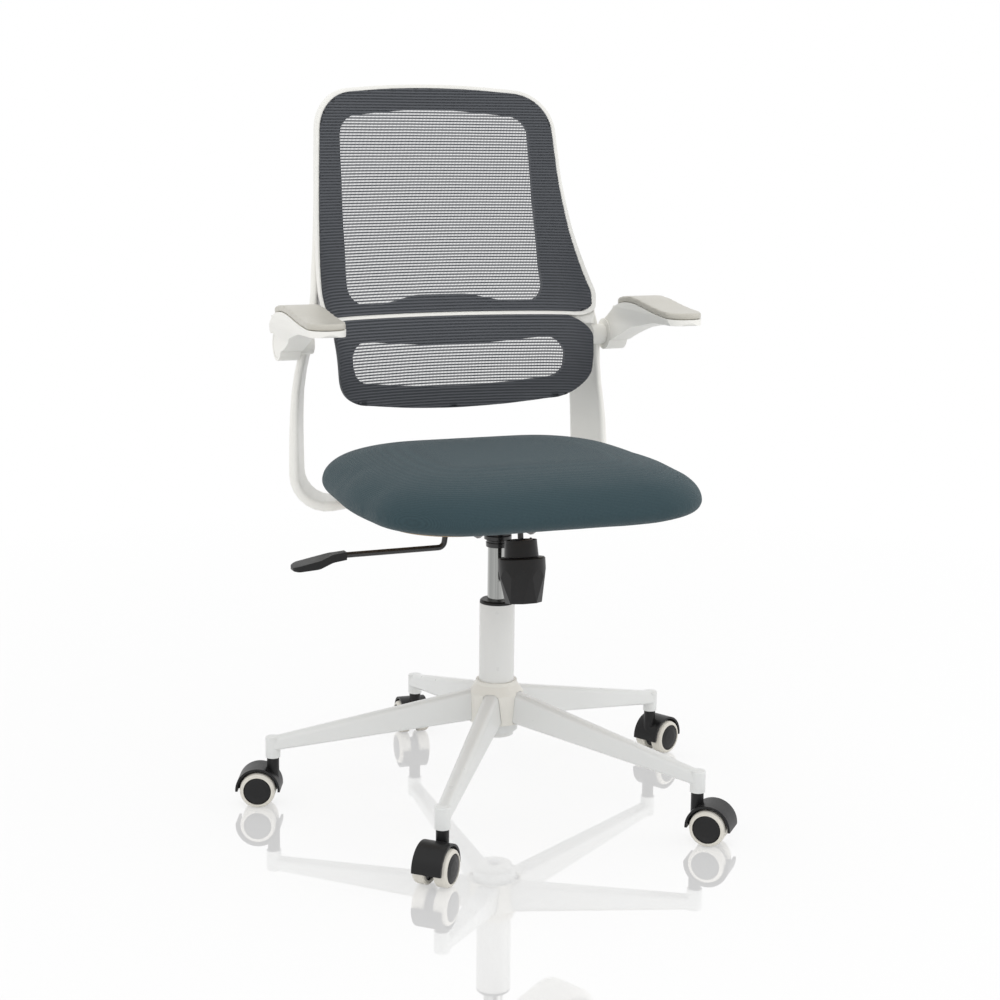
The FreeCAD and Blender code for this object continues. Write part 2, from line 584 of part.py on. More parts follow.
def leaned(shape):
    """Move a piece built on Z, with its datum at the origin, on to the leaning axis of the tension knob."""
    copy = shape.copy()
    copy.rotate(ORIGIN, X_AXIS, -KNOB_LEAN)
    copy.translate(KNOB_TOP)
    return copy


head_top = TENSION_HEAD_Z + TENSION_HEAD
bolt_head = post(TENSION_HEAD_R, TENSION_HEAD_Z, head_top)
bolt = leaned(post(TENSION_BOLT_R, TENSION_BOLT_LOW, TENSION_HEAD_Z).fuse(bolt_head))
save("tension_bolt", bolt.removeSplitter())
save("mechanism_pan", pan.cut(bolt).removeSplitter())

# Spring cup, tension spring and the faceted knob on the tension bolt
cup_inside = CUP_FLOOR_Z + CUP_FLOOR
cup = turned([(TENSION_BOLT_R, CUP_FLOOR_Z), (CUP_BOTTOM_R, CUP_FLOOR_Z), (CUP_TOP_R, CUP_HEIGHT),
              (CUP_TOP_R - CUP_WALL, CUP_HEIGHT), (CUP_BOTTOM_R - CUP_WALL, cup_inside),
              (TENSION_BOLT_R, cup_inside)])
save("spring_cup", leaned(cup))
spring = post(SPRING_OUTER_R, cup_inside, SPRING_TOP).cut(post(SPRING_INNER_R, 0, FAR))
save("tension_spring", leaned(spring))


def ring_points(radius, z, phase):
    step = 2 * math.pi / KNOB_SIDES
    return [Vector(radius * math.cos((i + phase) * step), radius * math.sin((i + phase) * step), z)
            for i in range(KNOB_SIDES)]


def faceted_skirt(top_z, bottom_z):
    """Solid between two polygons turned half a side apart, joined by long triangles."""
    top = ring_points(KNOB_R / math.cos(math.pi / KNOB_SIDES), top_z, 0.0)
    low = ring_points(KNOB_BOTTOM_R, bottom_z, 0.5)
    rings = [top, low]
    for i in range(KNOB_SIDES):
        rings.append([top[i - 1], top[i], low[i - 1]])
        rings.append([top[i], low[i], low[i - 1]])
    faces = [Part.Face(Part.makePolygon(ring + ring[:1])) for ring in rings]
    return Part.makeSolid(Part.makeShell(faces))


knob_round = turned([(0, -KNOB_HEIGHT), (KNOB_R, -KNOB_HEIGHT), (KNOB_R, -KNOB_EDGE),
                     (KNOB_R - KNOB_EDGE, 0), (0, 0)])
knob_band = post(KNOB_R + 1, -KNOB_BAND, 0)
knob = knob_round.common(faceted_skirt(-KNOB_BAND, -KNOB_HEIGHT).fuse(knob_band))
knob = knob.cut(post(TENSION_BOLT_R + RUNNING_GAP, -KNOB_BORE_DEPTH, 1))
save("tension_knob", leaned(knob))


# Seat: plywood board, and a foam cushion with a crown and sides that are drawn in under it
def seat_outline(inset, z):
    """Plan of the seat: widest ahead of its middle, all corners well rounded."""
    front = SEAT_FRONT_Y + inset
    rear = SEAT_REAR_Y - inset
    half = SEAT_HALF_WIDTH - inset
    rear_r = SEAT_REAR_CORNER_R - SEAT_CORNER_SHRINK * inset
    front_r = SEAT_FRONT_CORNER_R - SEAT_CORNER_SHRINK * inset
    side_r = SEAT_SIDE_R * half / SEAT_HALF_WIDTH
    run = [(half * SEAT_REAR_SHARE, rear, rear_r), (half, SEAT_WIDEST_Y, side_r),
           (half * SEAT_FRONT_SHARE, front, front_r)]
    return rounded(both_sides(run), lambda u, v: Vector(u, v, z))


board = extruded(seat_outline(BOARD_INSET, BOARD_BOTTOM_Z), Z_AXIS * (BOARD_TOP_Z - BOARD_BOTTOM_Z))
cushion = Part.makeLoft([seat_outline(inset, z) for inset, z in CUSHION_LEVELS], True, True)
save("seat_cushion", cushion.cut(board))


# Back: one curved surface carries both mesh panels, their rims and the bezel round them
def back_depth(x, z, centre):
    """Depth of the back at a point: hollow across, with wings that curl forward low down."""
    curl = WING_CURL * min(max((WING_TOP_Z - z) / (WING_TOP_Z - WING_FULL_Z), 0.0), 1.0)
    wing = max(abs(x) - WING_START_X, 0.0)
    return centre - BACK_HOLLOW * x * x - curl * wing * wing


def between(table, z):
    """Values of a table of (height, value, ...) rows at one height, by a cubic through its rows."""
    rows = sorted(table)
    k = min(max(sum(1 for row in rows if row[0] <= z) - 1, 0), len(rows) - 2)
    low, high = rows[k], rows[k + 1]
    before = rows[max(k - 1, 0)]
    after = rows[min(k + 2, len(rows) - 1)]
    span = high[0] - low[0]
    t = (z - low[0]) / span
    values = []
    for column in range(1, len(low)):
        slope_low = (high[column] - before[column]) / (high[0] - before[0]) * span
        slope_high = (after[column] - low[column]) / (after[0] - low[0]) * span
        values.append(low[column] * (1 + 2 * t) * (1 - t) ** 2 + slope_low * t * (1 - t) ** 2
                      + high[column] * t * t * (3 - 2 * t) + slope_high * t * t * (t - 1))
    return values


def evenly(start, end, count):
    return [start + (end - start) * i / (count - 1) for i in range(count)]


columns = evenly(-SURFACE_HALF, SURFACE_HALF, SURFACE_COLUMNS)
levels = evenly(BACK_CENTRE[-1][0], BACK_CENTRE[0][0], SURFACE_ROWS)
back_surface = Part.BSplineSurface()
back_surface.interpolate([[Vector(x, back_depth(x, z, between(BACK_CENTRE, z)[0]), z) for x in columns]
                          for z in levels])
back_face = back_surface.toShape()


def back_layer(start, depth):
    """Layer of the back between two depths behind its front surface."""
    face = back_face.copy()
    face.translate(Y_AXIS * start)
    return face.extrude(Y_AXIS * depth)


def front_prism(half):
    """Prism along Y over a symmetric outline seen from the front."""
    wire = rounded(both_sides(half), lambda u, v: Vector(u, 0, v))
    return extruded(wire, Y_AXIS * FAR)


upper_outline = front_prism(UPPER_OUTLINE)
lower_outline = front_prism(LOWER_OUTLINE)
mesh_layer = back_layer(0.0, MESH_THICK)
rim_layer = back_layer(MESH_THICK, PANEL_RIM_DEPTH)
save("upper_mesh", mesh_layer.common(upper_outline))
save("upper_panel_rim", rim_layer.common(upper_outline).cut(front_prism(UPPER_WINDOW)))
save("lower_mesh", mesh_layer.common(lower_outline))
save("lower_panel_rim", rim_layer.common(lower_outline).cut(front_prism(LOWER_WINDOW)))


# Back frame: white moulding with a thin bezel, a crossbar, and side blades that bend in under the seat
def blade_section(centre, chord, thick, bend=0.0):
    """Section of a right-hand blade; bend turns it from upright (0) to running inward (90 degrees)."""
    toe = math.radians(BLADE_TOE)
    tip = math.radians(bend)
    along = Vector(-math.sin(toe), math.cos(toe), 0)
    outward = Vector(math.cos(toe), math.sin(toe), 0) * math.cos(tip) - Z_AXIS * math.sin(tip)
    radius = thick * BLADE_EDGE_SHARE
    u, v = chord / 2.0, thick / 2.0
    return rounded([(-u, -v, radius), (u, -v, radius), (u, v, radius), (-u, v, radius)],
                   lambda a, b: centre + along * a + outward * b)


def blade_bend(angle, chord, thick, run=0.0):
    """Section on the bend under the seat, or on the straight run after it."""
    toe = math.radians(BLADE_TOE)
    tip = math.radians(angle)
    inward = Vector(-math.cos(toe), -math.sin(toe), 0)
    hub = BEND_START + inward * LEG_BEND_R
    centre = hub - inward * (LEG_BEND_R * math.cos(tip)) - Z_AXIS * (LEG_BEND_R * math.sin(tip))
    onward = inward * math.sin(tip) - Z_AXIS * math.cos(tip)
    return blade_section(centre + onward * run, chord, thick, angle)


upright = []
for z in evenly(BLADE_STATIONS[0][0], BEND_START.z, BLADE_SECTIONS):
    x, y, chord, thick = between(BLADE_STATIONS, z)
    upright.append(blade_section(Vector(x, y, z), chord, thick))
bend_chord = BLADE_STATIONS[-1][3]
turning = [blade_bend(turn, bend_chord, BLADE_FOOT_THICK) for turn in evenly(0, BEND_TURN, BEND_SECTIONS)]
run_end = blade_bend(BEND_TURN, FOOT_CHORD, BLADE_FOOT_THICK, FOOT_RUN)
blade = Part.makeLoft(upright, True, True)
bend = Part.makeLoft(turning, True, True)
run = Part.makeLoft([turning[-1], run_end], True, True)
foot = flat_plate(FOOT_OUTLINE, FOOT_BOTTOM_Z, BOARD_BOTTOM_Z - FOOT_BOTTOM_Z)
pivot_seat = bar(PIVOT_SEAT_R, ARM_INNER_X - PIVOT_SEAT_LENGTH, ARM_INNER_X - THRUST_GAP, PIVOT_Y, PIVOT_Z)
shoulder = flat_plate(SHOULDER_PLAN, SHOULDER_LOW_Z, SHOULDER_HIGH_Z - SHOULDER_LOW_Z)
shoulder = shoulder.common(back_layer(MESH_THICK + PANEL_RIM_DEPTH + LOOSE_GAP, SHOULDER_REACH))
side = blade.fuse([bend, run, foot, pivot_seat, shoulder])
bezel = back_layer(BEZEL_START, BEZEL_DEPTH).common(front_prism(BEZEL_OUTLINE)).cut(upper_outline)
for x in FOOT_BOLT_X:
    side = side.cut(post(BOLT_R + SNUG_GAP, 0, FAR, x, FOOT_BOLT_Y))
    side = side.cut(post(BOLT_HEAD_R + LOOSE_GAP, 0, FOOT_HEAD_Z, x, FOOT_BOLT_Y))
side = side.cut(bar(PIVOT_BOLT_R, PIVOT_BOLT_ROOT_X, ARM_INNER_X, PIVOT_Y, PIVOT_Z))
save("back_frame", bezel.fuse([side, mirrored(side)]))
foot_bolt_places = [(s * x, FOOT_BOLT_Y) for s in (-1, 1) for x in FOOT_BOLT_X]


# Seat bolts: one kind of screw holds the pan and both feet of the frame to the board
def seat_bolt(x, y, head_z):
    shank = post(BOLT_R, head_z, BOARD_TOP_Z - BOLT_COVER, x, y)
    head = post(BOLT_HEAD_R, head_z - BOLT_HEAD_DEPTH, head_z, x, y)
    return shank.fuse(head).removeSplitter()


bolts = [seat_bolt(x, y, BOARD_BOTTOM_Z - PAN_SHEET) for x, y in seat_bolt_places]
bolts += [seat_bolt(x, y, FOOT_HEAD_Z) for x, y in foot_bolt_places]
for bolt_solid in bolts:
    board = board.cut(bolt_solid)
save("seat_bolts", *bolts)
save("seat_board", board)


# Armrests: white shell with a swept web down to its pivot, and a soft pad on top
def pad_curve(drop):
    """S-shaped side view of the pad, moved down by drop."""
    points = [Vector(0, y, z - drop) for y, z in PAD_CURVE]
    curve = Part.BSplineCurve()
    curve.interpolate(points)
    return curve.toShape(), points[0], points[-1]


def under_curve(drop):
    """Everything below the pad's side view, across the armrest."""
    curve, front, rear = pad_curve(drop)
    low_front = Vector(0, front.y, 0)
    low_rear = Vector(0, rear.y, 0)
    wire = Part.Wire([curve, Part.makeLine(rear, low_rear), Part.makeLine(low_rear, low_front),
                      Part.makeLine(low_front, front)])
    return extruded(wire, X_AXIS * FAR)


pad_low_x = PAD_X - PAD_HALF_WIDTH
pad_high_x = PAD_X + PAD_HALF_WIDTH
pad_plan = flat_plate([(pad_low_x, PAD_FRONT_Y, PAD_FRONT_R), (pad_high_x, PAD_FRONT_Y, PAD_FRONT_R),
                       (pad_high_x, PAD_REAR_Y, PAD_REAR_R), (pad_low_x, PAD_REAR_Y, PAD_REAR_R)], 0, 2 * FAR)
below_pad = under_curve(PAD_THICK)
pad = under_curve(0.0).cut(below_pad).common(pad_plan)
web_side = side_plate(WEB_SIDE, 0, FAR)
web_front = extruded(rounded(WEB_FRONT, lambda u, v: Vector(u, -FAR, v)), Y_AXIS * 2 * FAR)
arm_reach = pad_plan.fuse(block((pad_low_x, ARM_TAIL_Y, 0), (FAR, FAR, 2 * FAR)))
above_pad = block((0, -FAR, 0), (FAR, PAD_REAR_Y, 2 * FAR)).cut(below_pad)
arm = web_side.common(web_front).common(arm_reach).cut(above_pad)
boss = bar(PIVOT_R, ARM_INNER_X, ARM_OUTER_X, PIVOT_Y, PIVOT_Z)
arm = arm.fuse(boss).removeSplitter()
arm = arm.cut(bar(PIVOT_BOLT_R + RUNNING_GAP, 0, FAR, PIVOT_Y, PIVOT_Z))
cap_seat = ARM_OUTER_X - PIVOT_CAP_THICK
arm = arm.cut(bar(PIVOT_CAP_R + LOOSE_GAP, cap_seat - LOOSE_GAP, FAR, PIVOT_Y, PIVOT_Z))
cap = bar(PIVOT_CAP_R, cap_seat, ARM_OUTER_X - LOOSE_GAP, PIVOT_Y, PIVOT_Z)
pivot_bolt = bar(PIVOT_BOLT_R, PIVOT_BOLT_ROOT_X, cap_seat, PIVOT_Y, PIVOT_Z).fuse(cap).removeSplitter()
save("arm_left", arm)
save("arm_right", mirrored(arm))
save("arm_pad_left", pad)
save("arm_pad_right", mirrored(pad))
save("arm_pivot_bolts", pivot_bolt, mirrored(pivot_bolt))


# Casters: moulded hood on a steel stem, with two free wheels of a black core and a soft pale tread
def across(shape):
    """Turn a piece built about Z so that its axis lies along Y, on the caster's axle."""
    copy = shape.copy()
    copy.rotate(ORIGIN, X_AXIS, -90)
    copy.translate(Vector(WHEEL_TRAIL, 0, WHEEL_R))
    return copy


def placed(shape, index):
    """Turn a caster piece to its angle and move it under its leg."""
    copy = turned_z(shape, CASTER_ANGLES[index])
    leg = math.radians(leg_angles[index])
    copy.translate(Vector(STEM_CIRCLE_R * math.cos(leg), STEM_CIRCLE_R * math.sin(leg), 0))
    return copy


web_half = WHEEL_INNER_FACE - WEB_GAP
shell = across(post(HOOD_R, -HOOD_HALF_WIDTH, HOOD_HALF_WIDTH))
tower = post(HOOD_TOWER_R, HOOD_TOWER_Z, HOOD_TOP_Z)
room_r = HOOD_R - HOOD_WALL
wheel_room = across(post(room_r, web_half, FAR)).fuse(across(post(room_r, -FAR, -web_half)))
hood = shell.fuse(tower).cut(wheel_room)
below_skirt = block((-FAR, -FAR, -FAR), (FAR, FAR, WHEEL_R - HOOD_SKIRT_DROP))
hood = hood.cut(below_skirt.cut(across(post(HOOD_HUB_R, -web_half, web_half))))
stem_flange = post(STEM_FLANGE_R, HOOD_TOP_Z, SOCKET_BOTTOM_Z - THRUST_GAP)
stem = post(STEM_R, STEM_BOTTOM_Z, LEG_TIP_TOP_Z - STEM_HEADROOM).fuse(stem_flange)
axle_reach = WHEEL_INNER_FACE + AXLE_END
axle = across(post(AXLE_R, -axle_reach, axle_reach))
hood = hood.cut(stem).cut(axle)
wheel_outer = WHEEL_INNER_FACE + WHEEL_WIDTH
axle_bore = AXLE_R + RUNNING_GAP
recess = WHEEL_INNER_FACE + WHEEL_RECESS
bore_end = WHEEL_INNER_FACE + AXLE_ROOM
core = turned([(axle_bore, WHEEL_INNER_FACE), (WHEEL_HUB_R, WHEEL_INNER_FACE), (WHEEL_HUB_R, recess),
               (TREAD_SEAT_R, recess), *((TREAD_SEAT_R - r, wheel_outer + z) for r, z in CORE_DOME),
               (0, bore_end), (axle_bore, bore_end)])
tread = turned([(TREAD_SEAT_R, WHEEL_INNER_FACE), (WHEEL_R - TREAD_EDGE, WHEEL_INNER_FACE),
                (WHEEL_R, WHEEL_INNER_FACE + TREAD_EDGE),
                *((WHEEL_R - r, wheel_outer - z) for r, z in TREAD_SHOULDER), (TREAD_SEAT_R, wheel_outer)])
for i in range(LEG_COUNT):
    number = str(i + 1)
    save("caster_hood_" + number, placed(hood, i))
    save("caster_stem_" + number, placed(stem, i), placed(axle, i))
    for letter, face in (("a", 1), ("b", -1)):
        for prefix, piece in (("wheel_core_", core), ("wheel_tread_", tread)):
            solid = piece if face > 0 else piece.mirror(ORIGIN, Z_AXIS)
            save(prefix + number + letter, placed(across(solid), i))
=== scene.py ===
import math

import bpy
from mathutils import Matrix, Vector


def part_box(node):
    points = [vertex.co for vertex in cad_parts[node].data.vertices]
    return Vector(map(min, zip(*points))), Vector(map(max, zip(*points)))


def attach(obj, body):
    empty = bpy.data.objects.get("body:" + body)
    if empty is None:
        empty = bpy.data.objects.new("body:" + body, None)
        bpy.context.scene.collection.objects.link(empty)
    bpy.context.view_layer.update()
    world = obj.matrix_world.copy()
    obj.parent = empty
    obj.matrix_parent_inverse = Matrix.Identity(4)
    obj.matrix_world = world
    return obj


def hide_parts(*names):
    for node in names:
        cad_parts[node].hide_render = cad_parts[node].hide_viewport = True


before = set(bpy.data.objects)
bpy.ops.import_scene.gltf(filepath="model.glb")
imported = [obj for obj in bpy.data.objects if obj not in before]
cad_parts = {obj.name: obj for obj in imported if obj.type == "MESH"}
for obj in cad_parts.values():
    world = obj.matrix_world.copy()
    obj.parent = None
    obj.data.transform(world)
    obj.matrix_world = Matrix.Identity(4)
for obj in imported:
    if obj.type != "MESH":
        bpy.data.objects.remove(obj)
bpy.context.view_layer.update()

scene = bpy.context.scene
scene.view_settings.view_transform = "Standard"

# View: a camera at the height of a seated eye, to the sitter's right of the chair's front.
# Its distance, turn and slight roll put the chair in the frame as it was photographed.
VIEW_AZIMUTH = math.radians(-21.43)
VIEW_ELEVATION = math.radians(10.94)
VIEW_ROLL = math.radians(-0.62)
VIEW_DISTANCE = 2.7831
VIEW_TARGET = Vector((0.0, 0.0, 0.45))
VIEW_SENSOR = 36.0
VIEW_LENS = 71.72
VIEW_SHIFT = (0.0016, -0.0093)
back_axis = Vector((math.sin(VIEW_AZIMUTH) * math.cos(VIEW_ELEVATION),
                    -math.cos(VIEW_AZIMUTH) * math.cos(VIEW_ELEVATION), math.sin(VIEW_ELEVATION)))
level_axis = Vector((math.cos(VIEW_AZIMUTH), math.sin(VIEW_AZIMUTH), 0.0))
rise_axis = back_axis.cross(level_axis)
right_axis = level_axis * math.cos(VIEW_ROLL) - rise_axis * math.sin(VIEW_ROLL)
up_axis = level_axis * math.sin(VIEW_ROLL) + rise_axis * math.cos(VIEW_ROLL)
camera = bpy.data.objects.new("photo_camera", bpy.data.cameras.new("photo_camera"))
camera.data.sensor_width = VIEW_SENSOR
camera.data.lens = VIEW_LENS
camera.data.shift_x, camera.data.shift_y = VIEW_SHIFT
camera.matrix_world = Matrix.Translation(VIEW_TARGET + back_axis * VIEW_DISTANCE) @ Matrix(
    (right_axis, up_axis, back_axis)).transposed().to_4x4()
scene.collection.objects.link(camera)
scene.camera = camera


# Studio: a white floor with a faint polish, a white surround, and three broad soft lamps.
# The surround is white to the eye and in reflections, and lights the chair at a lower level;
# the floor turns into it a little way off, so no horizon shows.
class Wire:
    """A socket of a finish; arithmetic on it adds Math nodes."""

    def __init__(self, finish, socket):
        self.finish = finish
        self.socket = socket

    def math(self, operation, first, second):
        return self.finish.node("ShaderNodeMath", {"operation": operation}, {0: first, 1: second})

    def __add__(self, other):
        return self.math("ADD", self, other)

    __radd__ = __add__

    def __mul__(self, other):
        return self.math("MULTIPLY", self, other)

    __rmul__ = __mul__

    def __sub__(self, other):
        return self.math("SUBTRACT", self, other)

    def __rsub__(self, other):
        return self.math("SUBTRACT", other, self)

    def over(self, other):
        return self.math("GREATER_THAN", self, other)

    def most(self, other):
        return self.math("MAXIMUM", self, other)

    def least(self, other):
        return self.math("MINIMUM", self, other)

    def sine(self):
        return self.math("SINE", self, 0.0)


class Nodes:
    """A node tree, and the one way that nodes are added to it."""

    def __init__(self, tree):
        self.tree = tree

    def node(self, kind, settings=None, inputs=None, output=0):
        made = self.tree.nodes.new(kind)
        for key, value in (settings or {}).items():
            setattr(made, key, value)
        for key, value in (inputs or {}).items():
            if isinstance(value, Wire):
                self.tree.links.new(value.socket, made.inputs[key])
            else:
                made.inputs[key].default_value = value
        return Wire(self, made.outputs[output])

    def seen(self):
        """1 where a ray comes from the camera, or by way of a mirror or glass."""
        straight = self.node("ShaderNodeLightPath", output="Is Camera Ray")
        mirrored = self.node("ShaderNodeLightPath", output="Is Glossy Ray")
        through = self.node("ShaderNodeLightPath", output="Is Transmission Ray")
        return straight.most(mirrored).most(through)


SURROUND_LIGHT = 0.92
FLOOR_POLISH = 0.36
FLOOR_GLOW = 0.72
FADE_START = 0.9
FADE_END = 2.1
FLOOR_SIZE = 14.0
FLOOR_DROP = 0.0006
FLOOR_ROUGHNESS = 0.02
WHITE = (1.0, 1.0, 1.0, 1.0)
FLOOR_WHITE = (0.93, 0.93, 0.93, 1.0)
world = bpy.data.worlds.new("studio")
world.use_nodes = True
scene.world = world
sky = Nodes(world.node_tree)
world.node_tree.links.new((SURROUND_LIGHT + (1.0 - SURROUND_LIGHT) * sky.seen()).socket,
                          world.node_tree.nodes["Background"].inputs["Strength"])
world.node_tree.nodes["Background"].inputs["Color"].default_value = WHITE

bpy.ops.object.select_all(action="DESELECT")
bpy.ops.mesh.primitive_plane_add(size=FLOOR_SIZE, location=(0.0, 0.0, -FLOOR_DROP))
floor = bpy.context.object
floor.name = "studio_floor"
floor_material = bpy.data.materials.new("studio_floor")
floor_material.use_nodes = True
floor_nodes = Nodes(floor_material.node_tree)
floor_material.node_tree.nodes.remove(floor_material.node_tree.nodes["Principled BSDF"])
reach = floor_nodes.node("ShaderNodeVectorMath", {"operation": "LENGTH"},
                         {0: floor_nodes.node("ShaderNodeTexCoord", output="Object")}, "Value")
fade = ((reach - FADE_START) * (1.0 / (FADE_END - FADE_START))).most(0.0).least(1.0)
glow_share = floor_nodes.seen() * (FLOOR_GLOW + (1.0 - FLOOR_GLOW) * fade)
matt = floor_nodes.node("ShaderNodeBsdfDiffuse", inputs={"Color": FLOOR_WHITE})
glow = floor_nodes.node("ShaderNodeEmission", inputs={"Color": WHITE, "Strength": 1.0})
polish = floor_nodes.node("ShaderNodeBsdfGlossy", inputs={"Color": WHITE, "Roughness": FLOOR_ROUGHNESS})
lit = floor_nodes.node("ShaderNodeMixShader", inputs={0: glow_share, 1: matt, 2: glow})
polished = floor_nodes.node("ShaderNodeMixShader", inputs={0: FLOOR_POLISH * (1.0 - fade), 1: lit, 2: polish})
floor_output = floor_material.node_tree.nodes["Material Output"]
floor_material.node_tree.links.new(polished.socket, floor_output.inputs[0])
floor.data.materials.append(floor_material)


def soft_lamp(name, place, size, power):
    lamp = bpy.data.objects.new(name, bpy.data.lights.new(name, "AREA"))
    lamp.data.size = size
    lamp.data.energy = power
    lamp.location = place
    lamp.rotation_euler = (VIEW_TARGET - Vector(place)).to_track_quat("-Z", "Y").to_euler()
    scene.collection.objects.link(lamp)


soft_lamp("key_lamp", (-1.7, -1.8, 2.5), 1.8, 8.0)
soft_lamp("side_lamp", (2.2, -1.2, 1.5), 1.6, 8.0)
soft_lamp("top_lamp", (0.2, 0.6, 2.9), 2.0, 4.0)


# Star base: five tapered legs welded to a sleeve, blasted and powder coated glossy white.
# The coat has a faint orange peel, and its gloss varies a little in patches.
class Finish(Nodes):
    """A material with one principled shader, patterned by the piece's own place in metres."""

    def __init__(self, name, colour, roughness, **fixed):
        self.material = bpy.data.materials.new(name)
        self.material.use_nodes = True
        super().__init__(self.material.node_tree)
        self.shader = self.tree.nodes["Principled BSDF"]
        self.shader.inputs["Base Color"].default_value = (*colour, 1.0)
        self.shader.inputs["Roughness"].default_value = roughness
        for key, value in fixed.items():
            self.shader.inputs[key.replace("_", " ")].default_value = value
        self.place = self.node("ShaderNodeTexCoord", output="Object")

    def feed(self, socket, value):
        self.tree.links.new(value.socket, self.shader.inputs[socket])

    def noise(self, scale, detail=2.0, place=None):
        return self.node("ShaderNodeTexNoise",
                         inputs={"Vector": place or self.place, "Scale": scale, "Detail": detail})

    def stretched(self, scale):
        return self.node("ShaderNodeMapping", inputs={"Vector": self.place, "Scale": scale})

    def axis(self, name):
        return self.node("ShaderNodeSeparateXYZ", inputs={0: self.place}, output=name)

    def colours(self, share, low, high):
        """Base colour that goes from low to high with a share."""
        mixed = self.node("ShaderNodeMix", {"data_type": "RGBA"},
                          {0: share, 6: (*low, 1.0), 7: (*high, 1.0)}, 2)
        self.feed("Base Color", mixed)

    def rough(self, share, low, high):
        self.feed("Roughness", low + (high - low) * share)

    def relief(self, height, depth):
        bump = self.node("ShaderNodeBump", inputs={"Strength": 1.0, "Distance": depth, "Height": height})
        self.feed("Normal", bump)

    def on(self, *names):
        """Put this finish on CAD nodes."""
        for name in names:
            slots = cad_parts[name].data.materials
            slots.clear()
            slots.append(self.material)


def powder_coat(name, colour, shade):
    """Glossy paint with orange peel, a little darker in patches."""
    coat = Finish(name, colour, 0.3, Coat_Weight=0.25, Coat_Roughness=0.12)
    coat.colours(coat.noise(9.0), shade, colour)
    coat.rough(coat.noise(60.0), 0.24, 0.36)
    coat.relief(coat.noise(420.0, 1.0), 0.00008)
    return coat


powder_coat("leg_powder_coat", (0.78, 0.79, 0.78), (0.735, 0.745, 0.735)).on("star_base")


# Hub cover: a thin cream moulding that snaps over the legs' roots and hides the welds.
# It has the fine spark-eroded grain of its mould.
def moulding(name, colour, shade, rough_low, rough_high, grain=0.00005, **fixed):
    """Moulded plastic: slight flow marks in colour and gloss, with a fine grain."""
    plastic = Finish(name, colour, rough_high, **fixed)
    plastic.colours(plastic.noise(14.0, 3.0), shade, colour)
    plastic.rough(plastic.noise(45.0, 4.0), rough_low, rough_high)
    plastic.relief(plastic.noise(1400.0, 2.0), grain)
    return plastic


moulding("cover_cream", (0.80, 0.785, 0.735), (0.76, 0.745, 0.69), 0.3, 0.42).on("hub_cover")

# Casters: black moulded hoods on steel stems, with two wheels each.
# A wheel is a black core with a soft cream tread moulded round it.
black_moulding = moulding("black_moulding", (0.012, 0.012, 0.0125), (0.008, 0.008, 0.0085), 0.32, 0.48,
                          Specular_IOR_Level=0.3)
bright_steel = Finish("turned_steel", (0.55, 0.55, 0.56), 0.3, Metallic=1.0)
bright_steel.rough(bright_steel.noise(1.0, 2.0, bright_steel.stretched((60.0, 60.0, 1800.0))), 0.18, 0.42)
tread_rubber = moulding("tread_cream", (0.77, 0.745, 0.68), (0.70, 0.67, 0.60), 0.42, 0.6, 0.00004)
for number in range(1, 6):
    black_moulding.on(f"caster_hood_{number}")
    bright_steel.on(f"caster_stem_{number}")
    for side in "ab":
        black_moulding.on(f"wheel_core_{number}{side}")
        tread_rubber.on(f"wheel_tread_{number}{side}")

# Gas column: a painted outer tube, a black bush in its mouth, and the bright cylinder that slides in it.
# The cylinder is plated, and its colour carries a painted reflection of light and dark bands along it; its
# rod, piston and release pin are plain steel.
powder_coat("tube_paint", (0.775, 0.78, 0.765), (0.735, 0.74, 0.725)).on("gas_outer_tube")
black_moulding.on("guide_bush")
plated = Finish("ground_chrome", (0.33, 0.335, 0.325), 0.1, Metallic=1.0)
plated.rough(plated.noise(1.0, 3.0, plated.stretched((40.0, 40.0, 900.0))), 0.05, 0.15)
# Painted reflection: light and dark bands along the cylinder, put into its base colour.
painted_reflection_bands = plated.noise(1.0, 2.0, plated.stretched((190.0, 190.0, 1.5)))
plated.colours(painted_reflection_bands, (0.12, 0.125, 0.12), (0.60, 0.605, 0.59))
plated.on("gas_cylinder")
bright_steel.on("piston_rod", "valve_pin")

# Tilt mechanism: pressed steel bracket and pan, painted black, hinged on a plain pin.
# The bent lever slides in the bracket and carries a moulded paddle.
black_paint = powder_coat("mechanism_black", (0.017, 0.017, 0.018), (0.012, 0.012, 0.013))
black_paint.on("column_bracket", "mechanism_pan", "tilt_lock_plate", "lever_rod", "tension_bolt", "tilt_pin")
black_moulding.on("lever_paddle")

# Tension adjuster: a moulded cup and a faceted knob on a bolt, with a coil spring inside the cup.
# The spring is wound from oiled wire.
black_moulding.on("spring_cup", "tension_knob")
KNOB_TOP = Vector((0.0, -0.089, 0.374))
KNOB_LEAN = math.radians(-9.0)
SPRING_LOW = 0.0065
SPRING_RISE = 0.0045
SPRING_TURNS = 4
SPRING_RADIUS = 0.0145
SPRING_WIRE = 0.0018
bpy.ops.object.select_all(action="DESELECT")
bpy.ops.mesh.primitive_circle_add(vertices=10, radius=SPRING_WIRE, location=(SPRING_RADIUS, 0.0, SPRING_LOW),
                                  rotation=(math.pi / 2, 0.0, 0.0))
coil = bpy.context.object
coil.name = "tension_coil"
bpy.ops.object.transform_apply(location=True, rotation=True, scale=True)
wound = coil.modifiers.new("wound", "SCREW")
wound.axis = "Z"
wound.screw_offset = SPRING_RISE
wound.iterations = SPRING_TURNS
wound.steps = 24
wound.render_steps = 24
bpy.ops.object.modifier_apply(modifier="wound")
bpy.ops.object.mode_set(mode="EDIT")
bpy.ops.mesh.select_all(action="SELECT")
bpy.ops.mesh.fill_holes(sides=0)
bpy.ops.mesh.normals_make_consistent(inside=False)
bpy.ops.object.mode_set(mode="OBJECT")
coil.data.transform(Matrix.Translation(KNOB_TOP) @ Matrix.Rotation(KNOB_LEAN, 4, "X"))
bpy.ops.object.shade_smooth()
